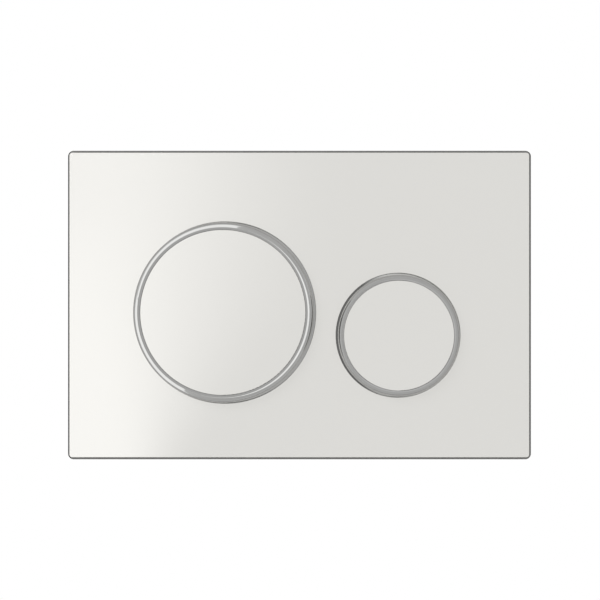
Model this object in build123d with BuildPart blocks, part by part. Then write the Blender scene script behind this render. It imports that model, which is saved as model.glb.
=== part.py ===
from build123d import *
from dataclasses import dataclass
from math import cos, radians, sin
import os

# Dual-flush wall plate for a concealed cistern, in millimetres.
# +X runs right and +Z up as the user sees it, and the front faces -Y. The origin is the middle of the plate
# on the finished wall. A size named "out" is measured from the wall towards the user, so it is negative
# for what lies inside the wall opening.

# Face plate
plate_width = 246
plate_height = 164
plate_depth = 8.5
plate_corner = 3
plate_inner_corner = 2.5
face_wall = 2.3
rim_wall = 2.2
bevel_width = 1.6
bevel_depth = 1.8
bevel_round = 0.2
hole_round = 0.3
collar_relief = 0.7
collar_wall = 1.8
collar_gap = 0.2
gusset_wall = 1.2
gusset_length = 5
gusset_height = 3
gusset_pitch = 24
gusset_columns = 9
gusset_rows = 5

# Buttons and their rings
large_x = -39.3
large_z = -4
large_hole_radius = 48
large_crest_radius = 1.2
large_flank_radius = 2.9
large_land_width = 1.05
large_lip_width = 1.15
large_stop_angle = 50
small_x = 52.2
small_z = -16
small_hole_radius = 32.8
small_crest_radius = 0.7
small_flank_radius = 3.6
small_land_width = 0.7
small_lip_width = 0.65
small_stop_angle = 60
ring_gap = 1
ring_rise = 6.1
ring_sink = 2.5
ring_wall = 1.2
ring_fit = 0.05
shoulder_tilt = 40
face_drop = 0.7
cap_wall = 2
cap_face_wall = 2.2
cap_edge = 0.25
cap_flange_lap = 0.3
cap_flange_wall = 1.5

# Mounting frame and the chassis that hooks onto it
frame_side_border = 13.6
frame_end_border = 14
frame_corner = 6
frame_wall = 2.2
frame_window_corner = 4
frame_lip_wall = 1.6
frame_lip_height = 2.8
chassis_end_margin = 5.4
chassis_side_lap = 1
chassis_end_lap = 2
chassis_corner = 5
chassis_wall = 2
chassis_gap = 0.2
chassis_clearance = 1
hook_x = 58
hook_width = 10
hook_wall = 1.8
hook_gap = 0.3
hook_catch = 1.8
hook_nose = 3

# Hinges, return springs and stops
hinge_gap = 1.6
hinge_margin = 5.6
hinge_sink = 0.8
pin_radius = 1.25
pin_fit = 0.03
pin_clearance = 0.06
pin_head_radius = 2.2
pin_head_height = 1
pin_tail = 0.5
knuckle_radius = 2.6
knuckle_start = 14
knuckle_length = 7.5
ear_radius = 3.2
ear_wall = 3
ear_gap = 0.3
spring_radius = 2.6
spring_wire = 0.35
spring_pitch = 0.85
spring_turns = 4.25
spring_fixed_leg = 4.6
spring_free_leg = 12.5
spring_seat_gap = 0.05
spring_seat_width = 5
spring_hole = 0.65
buffer_radius = 3
buffer_height = 1
lug_width = 9

# Rockers, push rods and their ball ends
rocker_wall = 2.2
rocker_setback = 2
rib_wall = 1.6
rib_height = 2.6
rocker_window_height = 18
rocker_window_margin = 4
rocker_window_corner = 4
rod_x = 30
rod_z = -10
rod_radius = 3
rod_length = 64
rod_thread_radius = 2.5
rod_thread_spare = 6
rod_fit = 0.05
ball_radius = 4
ball_setback = 4.3
socket_clearance = 0.1
socket_wall = 2.1
socket_grip = 2.2
socket_slit = 1
neck_radius = 2.2
neck_length = 5
sleeve_radius = 4.5
sleeve_length = 16
sleeve_wall = 2
nut_across_flats = 10
nut_height = 4.5

# Fasteners
chassis_screw_side_inset = 9.5
chassis_screw_end_inset = 8
screw_radius = 1.15
screw_pilot = 0.05
screw_clearance = 0.2
screw_head_radius = 2.6
screw_head_height = 1.6
screw_grip = 3
screw_tip_gap = 0.3
boss_radius = 3
rocker_screw_inset = 8
rocker_screw_angle = 60
rocker_screw_grip = 6
bolt_radius = 3
bolt_shoulder_radius = 3.4
bolt_clearance = 0.2
bolt_slot = 6
bolt_length = 58
bolt_tip = 0.75
bolt_head_clearance = 0.4
bolt_head_height = 2
bolt_head_slot = 1.4


@dataclass
class Button:
    """One button: its place, its hole in the plate, the ring's section and the side that it hinges on."""

    name: str
    rod_name: str
    x: float
    z: float
    hole_radius: float
    crest_radius: float
    flank_radius: float
    land_width: float
    lip_width: float
    stop_angle: float
    side: int

    @property
    def hinge_x(self):
        return self.x + self.side * (self.hole_radius + hinge_gap)


large = Button(
    "large", "full_flush", large_x, large_z, large_hole_radius, large_crest_radius, large_flank_radius,
    large_land_width, large_lip_width, large_stop_angle, -1,
)
small = Button(
    "small", "part_flush", small_x, small_z, small_hole_radius, small_crest_radius, small_flank_radius,
    small_land_width, small_lip_width, small_stop_angle, 1,
)
buttons = [large, small]

# Outlines of the carriers, from the buttons outwards
chassis_width = 2 * (max(abs(button.hinge_x) for button in buttons) + hinge_margin)
chassis_height = 2 * (
    max(abs(button.z) + button.hole_radius for button in buttons) + chassis_clearance + chassis_end_margin
)
frame_window_width = chassis_width - 2 * chassis_side_lap
frame_window_height = chassis_height - 2 * chassis_end_lap
frame_width = frame_window_width + 2 * frame_side_border
frame_height = frame_window_height + 2 * frame_end_border
bolt_room = frame_width / 2 - frame_lip_wall - chassis_width / 2
bolt_x = (chassis_width + bolt_room) / 2
bolt_head_radius = bolt_room / 2 - bolt_head_clearance

# Depths that follow from the sizes above
face_back_out = plate_depth - face_wall
chassis_back_out = frame_wall + chassis_gap
chassis_front_out = chassis_back_out + chassis_wall
crest_out = plate_depth + ring_rise
cap_out = crest_out - face_drop
ring_foot_out = plate_depth - ring_sink
rocker_front_out = chassis_back_out - rocker_setback
rocker_back_out = rocker_front_out - rocker_wall
hinge_out = -hinge_sink
ball_out = rocker_back_out - ball_setback
sleeve_out = ball_out - neck_length
knuckle_end = knuckle_start + knuckle_length
ear_start = knuckle_end + ear_gap
ear_end = ear_start + ear_wall
chassis_screw_x = chassis_width / 2 - chassis_screw_side_inset
chassis_screw_z = chassis_height / 2 - chassis_screw_end_inset
between_holes_x = (large.x + large.hole_radius + small.x - small.hole_radius) / 2
chassis_screws_at = [
    (x, z)
    for x in (-chassis_screw_x, between_holes_x, chassis_screw_x)
    for z in (-chassis_screw_z, chassis_screw_z)
]


def wall_plane(out):
    """Plane parallel to the wall, with X right and Z up, whose normal points at the user."""
    return Plane.XZ.offset(out)


def upright_plane(x, z):
    """Level plane at a height z, with local x to the right and local y out of the wall, facing down."""
    return Plane(origin=(x, 0, z), x_dir=(1, 0, 0), z_dir=(0, 0, -1))


def ring_outer(button):
    return button.hole_radius - ring_gap


def crest_circle(button):
    """Radius of the outer edge of the ring's flat land, inside its outer wall, flank and shoulder."""
    tilt = sin(radians(shoulder_tilt))
    return ring_outer(button) - button.flank_radius * (1 - tilt) - button.crest_radius * tilt


def ring_bore(button):
    """Radius of the ring's bore, inside the flat land and the lip that slopes down to the cap."""
    return crest_circle(button) - button.land_width - button.lip_width


def cap_radius(button):
    return ring_bore(button) - ring_fit


def window_radius(button):
    """Radius of the chassis window that the button passes through."""
    return button.hole_radius + chassis_clearance


def rocker_screw_grid(button):
    """Spacings of the four rocker screws, which lie on a circle inside the cap's wall."""
    radius = cap_radius(button) - rocker_screw_inset
    angle = radians(rocker_screw_angle)
    return 2 * radius * cos(angle), 2 * radius * sin(angle)


def stop_locations(button):
    """Places of the two stops, beside the window on the side that swings in."""
    swing_side = 0 if button.side < 0 else 180
    return PolarLocations(
        window_radius(button) + buffer_radius + collar_gap,
        2,
        start_angle=swing_side - button.stop_angle,
        angular_range=2 * button.stop_angle,
        endpoint=True,
    )


os.makedirs("parts", exist_ok=True)

# Face plate: a moulded shell with a bevelled front edge and a collar behind each hole
with BuildPart() as face_plate:
    with BuildSketch(wall_plane(0)):
        RectangleRounded(plate_width, plate_height, plate_corner)
    extrude(amount=plate_depth)
    front = face_plate.faces().sort_by(Axis.Y)[0]
    chamfer(front.edges(), length=bevel_width, length2=bevel_depth, reference=front)
    bevel_back = bevel_depth - plate_depth
    fillet(face_plate.edges().group_by(Axis.Y)[0], radius=bevel_round)
    fillet(face_plate.edges().filter_by_position(Axis.Y, bevel_back, bevel_back), radius=bevel_round)
    with BuildSketch(wall_plane(0)):
        RectangleRounded(plate_width - 2 * rim_wall, plate_height - 2 * rim_wall, plate_inner_corner)
    extrude(amount=face_back_out, mode=Mode.SUBTRACT)
    for button in buttons:
        collar_bore = button.hole_radius + collar_relief
        with BuildSketch(wall_plane(chassis_front_out + collar_gap)):
            with Locations((button.x, button.z)):
                Circle(collar_bore + collar_wall)
                Circle(collar_bore, mode=Mode.SUBTRACT)
        extrude(until=Until.NEXT)
        with BuildSketch(wall_plane(face_back_out)):
            with Locations((button.x, button.z)):
                Circle(button.hole_radius)
        extrude(amount=face_wall, mode=Mode.SUBTRACT)
    hole_edges = face_plate.edges().filter_by(GeomType.CIRCLE).group_by(Axis.Y)[0]
    fillet(hole_edges, radius=hole_round)
    with BuildSketch(wall_plane(chassis_front_out)):
        with Locations(chassis_screws_at):
            Circle(boss_radius)
    extrude(amount=face_back_out - chassis_front_out)
    with BuildSketch(wall_plane(chassis_front_out)):
        with Locations(chassis_screws_at):
            Circle(screw_radius + screw_pilot)
    extrude(amount=screw_grip, mode=Mode.SUBTRACT)
    gusset_z = plate_height - 2 * rim_wall - gusset_length
    gusset_x = plate_width - 2 * rim_wall - gusset_length
    with BuildSketch(wall_plane(face_back_out - gusset_height)):
        with GridLocations(gusset_pitch, gusset_z, gusset_columns, 2):
            Rectangle(gusset_wall, gusset_length)
        with GridLocations(gusset_x, gusset_pitch, 2, gusset_rows):
            Rectangle(gusset_length, gusset_wall)
    extrude(amount=gusset_height)
face_plate.part.label = "face_plate"
export_step(face_plate.part, "parts/face_plate.step")

# Chassis: carries the hinge ears and the spring anchors, and hooks into the mounting frame's window
with BuildPart() as hinge_chassis:
    with BuildSketch(wall_plane(chassis_back_out)):
        RectangleRounded(chassis_width, chassis_height, chassis_corner)
        for button in buttons:
            with Locations((button.x, button.z)):
                Circle(window_radius(button), mode=Mode.SUBTRACT)
            anchor_x = button.hinge_x + button.side * spring_radius
            with Locations((anchor_x, button.z - spring_pitch * spring_turns / 2)):
                Circle(spring_hole, mode=Mode.SUBTRACT)
        with Locations(chassis_screws_at):
            Circle(screw_radius + screw_clearance, mode=Mode.SUBTRACT)
    extrude(amount=chassis_wall)
    for button in buttons:
        for top_of_ear in (button.z + ear_end, button.z - ear_start):
            with BuildSketch(upright_plane(button.hinge_x, top_of_ear)):
                with Locations((0, hinge_out)):
                    Circle(ear_radius)
                    Rectangle(2 * ear_radius, chassis_back_out - hinge_out, align=(Align.CENTER, Align.MIN))
                    Circle(pin_radius + pin_fit, mode=Mode.SUBTRACT)
            extrude(amount=ear_wall)
    for end in (1, -1):
        catch_z = end * (frame_window_height / 2 - hook_gap)
        back_z = catch_z - end * hook_wall
        nose_z = catch_z + end * hook_catch
        for x in (-hook_x, hook_x):
            hook_plane = Plane(origin=(x - hook_width / 2, 0, 0), x_dir=(0, 0, 1), z_dir=(1, 0, 0))
            with BuildSketch(hook_plane):
                with BuildLine():
                    Polyline(
                        (back_z, chassis_back_out),
                        (catch_z, chassis_back_out),
                        (catch_z, -chassis_gap),
                        (nose_z, -chassis_gap),
                        (catch_z, -chassis_gap - hook_nose),
                        (back_z, -chassis_gap - hook_nose),
                        close=True,
                    )
                make_face()
            extrude(amount=hook_width)
hinge_chassis.part.label = "hinge_chassis"
export_step(hinge_chassis.part, "parts/hinge_chassis.step")

# Screws from the chassis into the plate's bosses
with BuildPart() as chassis_screws:
    with BuildSketch(wall_plane(chassis_back_out - screw_head_height)):
        with Locations(chassis_screws_at):
            Circle(screw_head_radius)
    extrude(amount=screw_head_height)
    with BuildSketch(wall_plane(chassis_back_out)):
        with Locations(chassis_screws_at):
            Circle(screw_radius)
    extrude(amount=chassis_wall + screw_grip - screw_tip_gap)
chassis_screws.part.label = "chassis_screws"
export_step(chassis_screws.part, "parts/chassis_screws.step")

# Mounting frame: flat on the finished wall, with a lip round its edge and a slot for each spacer bolt
with BuildPart() as mounting_frame:
    with BuildSketch(wall_plane(0)):
        RectangleRounded(frame_width, frame_height, frame_corner)
        RectangleRounded(frame_window_width, frame_window_height, frame_window_corner, mode=Mode.SUBTRACT)
        with Locations((-bolt_x, 0), (bolt_x, 0)):
            SlotCenterToCenter(
                bolt_slot, 2 * (bolt_shoulder_radius + bolt_clearance), rotation=90, mode=Mode.SUBTRACT
            )
    extrude(amount=frame_wall)
    with BuildSketch(wall_plane(frame_wall)):
        RectangleRounded(frame_width, frame_height, frame_corner)
        RectangleRounded(
            frame_width - 2 * frame_lip_wall,
            frame_height - 2 * frame_lip_wall,
            frame_corner - frame_lip_wall,
            mode=Mode.SUBTRACT,
        )
    extrude(amount=frame_lip_height)
mounting_frame.part.label = "mounting_frame"
export_step(mounting_frame.part, "parts/mounting_frame.step")

# Spacer bolts: a slotted flat head, a plain shoulder through the frame and a long thread into the cistern
for bolt_name, x in (("left_spacer_bolt", -bolt_x), ("right_spacer_bolt", bolt_x)):
    with BuildPart() as spacer_bolt:
        with BuildSketch(wall_plane(frame_wall)):
            with Locations((x, 0)):
                Circle(bolt_head_radius)
        extrude(amount=bolt_head_height)
        with BuildSketch(wall_plane(frame_wall + bolt_head_height / 2)):
            with Locations((x, 0)):
                Rectangle(bolt_head_slot, 2 * bolt_head_radius)
        extrude(amount=bolt_head_height / 2, mode=Mode.SUBTRACT)
        with BuildSketch(wall_plane(0)):
            with Locations((x, 0)):
                Circle(bolt_shoulder_radius)
        extrude(amount=frame_wall)
        with BuildSketch(wall_plane(-bolt_length)):
            with Locations((x, 0)):
                Circle(bolt_radius)
        extrude(amount=bolt_length)
        tip = spacer_bolt.faces().sort_by(Axis.Y)[-1]
        chamfer(tip.edges(), length=bolt_tip)
    spacer_bolt.part.label = bolt_name
    export_step(spacer_bolt.part, f"parts/{bolt_name}.step")

for button in buttons:
    axis = Axis((button.x, 0, button.z), (0, 1, 0))
    section = upright_plane(button.x, button.z)
    bore = ring_bore(button)
    outer = ring_outer(button)
    cap = cap_radius(button)
    crest = crest_circle(button)

    # Ring: a hollow bright ring with a flat land, a rounded outer flank and a lip that slopes down to the cap
    shoulder = 90 - shoulder_tilt
    crest_centre = (crest, crest_out - button.crest_radius)
    flank_drop = button.flank_radius - button.crest_radius
    flank_centre = (
        crest - flank_drop * sin(radians(shoulder_tilt)),
        crest_out - button.crest_radius - flank_drop * cos(radians(shoulder_tilt)),
    )
    channel_top = flank_centre[1]
    with BuildPart() as button_ring:
        with BuildSketch(section):
            with BuildLine():
                crest_arc = CenterArc(crest_centre, button.crest_radius, 90, -shoulder_tilt)
                flank_arc = CenterArc(flank_centre, button.flank_radius, shoulder, -shoulder)
                Polyline(
                    flank_arc @ 1,
                    (outer, ring_foot_out),
                    (outer - ring_wall, ring_foot_out),
                    (outer - ring_wall, channel_top),
                    (bore + ring_wall, channel_top),
                    (bore + ring_wall, ring_foot_out),
                    (bore, ring_foot_out),
                    (bore, cap_out),
                    (crest - button.land_width, crest_out),
                    crest_arc @ 0,
                )
            make_face()
        revolve(axis=axis)
    button_ring.part.label = f"{button.name}_button_ring"
    export_step(button_ring.part, f"parts/{button.name}_button_ring.step")

    # Cap: a shallow cup whose flange seats the ring, with a boss for each rocker screw
    with BuildPart() as button_cap:
        with BuildSketch(wall_plane(rocker_front_out)):
            with Locations((button.x, button.z)):
                Circle(cap)
        extrude(amount=cap_out - rocker_front_out)
        cap_front = button_cap.faces().sort_by(Axis.Y)[0]
        fillet(cap_front.edges(), radius=cap_edge)
        with BuildSketch(wall_plane(ring_foot_out - cap_flange_wall)):
            with Locations((button.x, button.z)):
                Circle(button.hole_radius + cap_flange_lap)
        extrude(amount=cap_flange_wall)
        with BuildSketch(wall_plane(rocker_front_out)):
            with Locations((button.x, button.z)):
                Circle(cap - cap_wall)
                with GridLocations(*rocker_screw_grid(button), 2, 2):
                    Circle(boss_radius, mode=Mode.SUBTRACT)
        extrude(amount=cap_out - cap_face_wall - rocker_front_out, mode=Mode.SUBTRACT)
        with BuildSketch(wall_plane(rocker_front_out)):
            with Locations((button.x, button.z)):
                with GridLocations(*rocker_screw_grid(button), 2, 2):
                    Circle(screw_radius + screw_pilot)
        extrude(amount=rocker_screw_grip, mode=Mode.SUBTRACT)
    button_cap.part.label = f"{button.name}_button_cap"
    export_step(button_cap.part, f"parts/{button.name}_button_cap.step")

    # Rocker: closes the cap's back and carries the hinge knuckles, the stop lugs and the ball socket
    socket_radius = ball_radius + socket_clearance + socket_wall
    seat_start = button.hinge_x - button.side * spring_free_leg
    seat_x = seat_start + button.side * spring_seat_width / 2
    seat_z = button.z + spring_pitch * spring_turns / 2
    seat_height = hinge_sink + spring_radius - spring_wire - spring_seat_gap + rocker_back_out
    socket_edge = button.side * (rod_x + socket_radius + rocker_window_margin)
    window_edge = seat_start - button.side * rocker_window_margin
    arm_length = abs(button.hinge_x - button.x)
    lug_length = window_radius(button) - cap + 4 * buffer_radius
    with BuildPart() as button_rocker:
        with BuildSketch(wall_plane(rocker_back_out)):
            with Locations((button.x, button.z)):
                Circle(cap)
                with Locations((button.side * arm_length / 2, 0)):
                    with GridLocations(0, 2 * knuckle_start + knuckle_length, 1, 2):
                        Rectangle(arm_length, knuckle_length)
                with stop_locations(button):
                    with Locations((buffer_radius, 0)):
                        Rectangle(lug_length, lug_width, align=(Align.MAX, Align.CENTER))
                with GridLocations(*rocker_screw_grid(button), 2, 2):
                    Circle(screw_radius + screw_clearance, mode=Mode.SUBTRACT)
            window_width = abs(socket_edge - window_edge)
            with Locations(((socket_edge + window_edge) / 2, button.z)):
                RectangleRounded(
                    window_width, rocker_window_height, rocker_window_corner, mode=Mode.SUBTRACT
                )
        extrude(amount=rocker_wall)
        with BuildSketch(wall_plane(rocker_front_out)):
            with Locations((button.x, button.z)):
                with stop_locations(button):
                    Rectangle(2 * buffer_radius, lug_width)
        extrude(amount=chassis_back_out - buffer_height - rocker_front_out)
        with BuildSketch(wall_plane(rocker_back_out - rib_height)):
            with Locations((button.x, button.z)):
                with GridLocations(0, 2 * knuckle_start, 1, 2):
                    Rectangle(2 * (cap - rocker_screw_inset), rib_wall)
        extrude(amount=rib_height)
        with BuildSketch(wall_plane(rocker_back_out - seat_height)):
            with Locations((seat_x, seat_z)):
                Rectangle(spring_seat_width, spring_seat_width)
        extrude(amount=seat_height)
        for top_of_knuckle in (button.z + knuckle_end, button.z - knuckle_start):
            with BuildSketch(upright_plane(button.hinge_x, top_of_knuckle)):
                with Locations((0, hinge_out)):
                    Circle(knuckle_radius)
            extrude(amount=knuckle_length)
        with BuildSketch(upright_plane(button.hinge_x, button.z + knuckle_end)):
            with Locations((0, hinge_out)):
                Circle(pin_radius + pin_clearance)
        extrude(amount=2 * knuckle_end, mode=Mode.SUBTRACT)
        with BuildSketch(wall_plane(ball_out - socket_grip)):
            with Locations((button.side * rod_x, rod_z)):
                Circle(socket_radius)
        extrude(amount=rocker_back_out - ball_out + socket_grip)
        with Locations((button.side * rod_x, -ball_out, rod_z)):
            Sphere(ball_radius + socket_clearance, mode=Mode.SUBTRACT)
        with BuildSketch(wall_plane(ball_out - socket_grip)):
            with Locations((button.side * rod_x, rod_z)):
                Rectangle(3 * socket_radius, socket_slit)
                Rectangle(socket_slit, 3 * socket_radius)
        extrude(amount=socket_grip + socket_slit, mode=Mode.SUBTRACT)
    button_rocker.part.label = f"{button.name}_button_rocker"
    export_step(button_rocker.part, f"parts/{button.name}_button_rocker.step")

    # Screws from the rocker into the cap's bosses
    with BuildPart() as rocker_screws:
        with BuildSketch(wall_plane(rocker_back_out - screw_head_height)):
            with Locations((button.x, button.z)):
                with GridLocations(*rocker_screw_grid(button), 2, 2):
                    Circle(screw_head_radius)
        extrude(amount=screw_head_height)
        with BuildSketch(wall_plane(rocker_back_out)):
            with Locations((button.x, button.z)):
                with GridLocations(*rocker_screw_grid(button), 2, 2):
                    Circle(screw_radius)
        extrude(amount=rocker_wall + rocker_screw_grip - screw_tip_gap)
    rocker_screws.part.label = f"{button.name}_rocker_screws"
    export_step(rocker_screws.part, f"parts/{button.name}_rocker_screws.step")

    # Hinge pin: dropped in from above, with a head that sits on the upper ear
    with BuildPart() as hinge_pin:
        with BuildSketch(upright_plane(button.hinge_x, button.z + ear_end + pin_head_height)):
            with Locations((0, hinge_out)):
                Circle(pin_head_radius)
        extrude(amount=pin_head_height)
        with BuildSketch(upright_plane(button.hinge_x, button.z + ear_end)):
            with Locations((0, hinge_out)):
                Circle(pin_radius)
        extrude(amount=2 * ear_end + pin_tail)
        chamfer(hinge_pin.faces().sort_by(Axis.Z)[0].edges(), length=pin_radius / 4)
    hinge_pin.part.label = f"{button.name}_hinge_pin"
    export_step(hinge_pin.part, f"parts/{button.name}_hinge_pin.step")

    # Torsion spring: one leg stands in the chassis and the other presses on the rocker's back
    coil_height = spring_pitch * spring_turns
    coil_foot = (abs(button.hinge_x), hinge_sink, button.z - coil_height / 2)
    with BuildPart() as return_spring:
        with BuildLine() as spring_path:
            coil = Helix(spring_pitch, coil_height, spring_radius, coil_foot)
            Line(coil @ 0 - (coil % 0) * spring_fixed_leg, coil @ 0)
            Line(coil @ 1, coil @ 1 + (coil % 1) * spring_free_leg)
        with BuildSketch(Plane(spring_path.wire() @ 0, z_dir=spring_path.wire() % 0)):
            Circle(spring_wire)
        sweep(path=spring_path.wire())
        if button.side < 0:
            mirror(about=Plane.YZ, mode=Mode.REPLACE)
    return_spring.part.label = f"{button.name}_return_spring"
    export_step(return_spring.part, f"parts/{button.name}_return_spring.step")

    # Rubber buffers on the chassis, which the rocker's lugs rest against
    with BuildPart() as stop_buffers:
        with BuildSketch(wall_plane(chassis_back_out - buffer_height)):
            with Locations((button.x, button.z)):
                with stop_locations(button):
                    Circle(buffer_radius)
        extrude(amount=buffer_height)
    stop_buffers.part.label = f"{button.name}_stop_buffers"
    export_step(stop_buffers.part, f"parts/{button.name}_stop_buffers.step")

    # Rod end: a ball that snaps into the rocker, and a sleeve that the rod screws into
    rod_at = (button.side * rod_x, rod_z)
    rod_front_out = sleeve_out - sleeve_wall
    nut_front_out = sleeve_out - sleeve_length
    with BuildPart() as rod_end:
        with Locations((button.side * rod_x, -ball_out, rod_z)):
            Sphere(ball_radius)
        with BuildSketch(wall_plane(sleeve_out)):
            with Locations(rod_at):
                Circle(neck_radius)
        extrude(amount=neck_length)
        with BuildSketch(wall_plane(nut_front_out)):
            with Locations(rod_at):
                Circle(sleeve_radius)
        extrude(amount=sleeve_length)
        with BuildSketch(wall_plane(nut_front_out)):
            with Locations(rod_at):
                Circle(rod_thread_radius + rod_fit)
        extrude(amount=sleeve_length - sleeve_wall, mode=Mode.SUBTRACT)
    rod_end.part.label = f"{button.rod_name}_rod_end"
    export_step(rod_end.part, f"parts/{button.rod_name}_rod_end.step")

    # Push rod: its threaded end screws into the sleeve to set the reach of its plain end
    thread_length = sleeve_length - sleeve_wall + nut_height + rod_thread_spare
    with BuildPart() as push_rod:
        with BuildSketch(wall_plane(rod_front_out - thread_length)):
            with Locations(rod_at):
                Circle(rod_thread_radius)
        extrude(amount=thread_length)
        with BuildSketch(wall_plane(rod_front_out - rod_length)):
            with Locations(rod_at):
                Circle(rod_radius)
        extrude(amount=rod_length - thread_length)
        chamfer(push_rod.faces().sort_by(Axis.Y)[-1].edges(), length=rod_radius / 4)
    push_rod.part.label = f"{button.rod_name}_rod"
    export_step(push_rod.part, f"parts/{button.rod_name}_rod.step")

    # Lock nut against the sleeve
    with BuildPart() as rod_nut:
        with BuildSketch(wall_plane(nut_front_out - nut_height)):
            with Locations(rod_at):
                RegularPolygon(nut_across_flats / 2, 6, major_radius=False)
                Circle(rod_thread_radius + rod_fit, mode=Mode.SUBTRACT)
        extrude(amount=nut_height)
    rod_nut.part.label = f"{button.rod_name}_rod_nut"
    export_step(rod_nut.part, f"parts/{button.rod_name}_rod_nut.step")
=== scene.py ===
from math import radians

import bmesh
import bpy
import mathutils
import numpy as np
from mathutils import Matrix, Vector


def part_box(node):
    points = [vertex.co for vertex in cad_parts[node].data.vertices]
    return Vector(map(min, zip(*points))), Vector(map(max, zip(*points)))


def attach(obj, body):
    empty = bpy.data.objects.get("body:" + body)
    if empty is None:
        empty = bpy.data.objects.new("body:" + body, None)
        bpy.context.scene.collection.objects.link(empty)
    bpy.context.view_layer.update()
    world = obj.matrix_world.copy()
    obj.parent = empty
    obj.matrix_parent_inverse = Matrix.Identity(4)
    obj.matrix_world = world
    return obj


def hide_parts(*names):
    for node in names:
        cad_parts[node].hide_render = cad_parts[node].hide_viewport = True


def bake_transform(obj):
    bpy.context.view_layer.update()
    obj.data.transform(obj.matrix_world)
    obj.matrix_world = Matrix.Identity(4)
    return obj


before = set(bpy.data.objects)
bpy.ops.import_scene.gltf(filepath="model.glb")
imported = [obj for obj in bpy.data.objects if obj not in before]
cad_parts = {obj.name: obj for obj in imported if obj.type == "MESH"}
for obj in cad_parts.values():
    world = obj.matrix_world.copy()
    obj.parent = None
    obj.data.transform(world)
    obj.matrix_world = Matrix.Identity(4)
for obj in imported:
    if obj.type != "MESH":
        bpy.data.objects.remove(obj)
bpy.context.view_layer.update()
scene = bpy.context.scene

# Mounting frame. A mid grey plastic moulding that lies flat on the finished wall round the service opening,
# held by the two spacer bolts. Its edges are eased as a mould leaves them.


def feed(material, socket, value):
    """Sets a socket to a plain number, or links a source to it."""
    if isinstance(value, float):
        socket.default_value = value
    else:
        material.node_tree.links.new(value, socket)


def noise_of(material, cells, detail=2.0, stretch=(1.0, 1.0, 1.0)):
    """Noise on the piece's own coordinates, in cells per metre, drawn out by stretch along each axis."""
    nodes, links = material.node_tree.nodes, material.node_tree.links
    place = nodes.new("ShaderNodeTexCoord")
    mapping = nodes.new("ShaderNodeMapping")
    mapping.inputs["Scale"].default_value = stretch
    noise = nodes.new("ShaderNodeTexNoise")
    noise.inputs["Scale"].default_value = cells
    noise.inputs["Detail"].default_value = detail
    links.new(place.outputs["Object"], mapping.inputs["Vector"])
    links.new(mapping.outputs["Vector"], noise.inputs["Vector"])
    return noise.outputs["Fac"]


def ramp_of(material, source, low, high, start=0.35, end=0.65):
    """A colour that runs from low to high as source goes from start to end."""
    ramp = material.node_tree.nodes.new("ShaderNodeValToRGB")
    ramp.color_ramp.elements[0].position = start
    ramp.color_ramp.elements[1].position = end
    ramp.color_ramp.elements[0].color = (*low, 1.0)
    ramp.color_ramp.elements[1].color = (*high, 1.0)
    material.node_tree.links.new(source, ramp.inputs["Fac"])
    return ramp.outputs["Color"]


def shade_of(material, source, colour, darkest, lightest, start=0.35, end=0.65):
    """The colour times a share that runs from darkest to lightest as source goes from start to end."""
    low, high = np.outer((darkest, lightest), colour).tolist()
    return ramp_of(material, source, low, high, start, end)


def range_of(material, source, low, high, start=0.3, end=0.7, way="LINEAR"):
    """A number that runs from low to high as source goes from start to end, each a number or a source."""
    node = material.node_tree.nodes.new("ShaderNodeMapRange")
    node.interpolation_type = way
    limits = {"Value": source, "From Min": start, "From Max": end, "To Min": low, "To Max": high}
    for name, value in limits.items():
        feed(material, node.inputs[name], value)
    return node.outputs["Result"]


def relief_of(material, source, depth, strength):
    """A surface relief, depth in metres, from a height that source gives."""
    bump = material.node_tree.nodes.new("ShaderNodeBump")
    bump.inputs["Distance"].default_value = depth
    bump.inputs["Strength"].default_value = strength
    material.node_tree.links.new(source, bump.inputs["Height"])
    return bump.outputs["Normal"]


def finish_named(name):
    """A new material with the plain shader."""
    material = bpy.data.materials.new(name)
    material.use_nodes = True
    return material


def dress(material, sockets):
    """Gives each named socket of the material's shader its number or source."""
    shader = material.node_tree.nodes["Principled BSDF"]
    for name, value in sockets.items():
        feed(material, shader.inputs[name], value)


def moulded_plastic(name, colour, roughness, grain):
    """Moulded plastic: cloudy flow tones over centimetres, a fine eroded grain and an uneven gloss."""
    flow_cells, gloss_cells, grain_cells = 45.0, 160.0, 3800.0
    grain_depth = 0.00004
    material = finish_named(name)
    tone = shade_of(material, noise_of(material, flow_cells, 4.0), colour, 0.96, 1.03)
    gloss = range_of(material, noise_of(material, gloss_cells, 3.0), roughness - 0.06, roughness + 0.08)
    relief = relief_of(material, noise_of(material, grain_cells), grain_depth, grain)
    dress(material, {"Base Color": tone, "Roughness": gloss, "Normal": relief})
    return material


weld_gap = 2e-6
flat_run = radians(0.3)
round_run = radians(32)
sharp_corner = radians(40)


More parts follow.
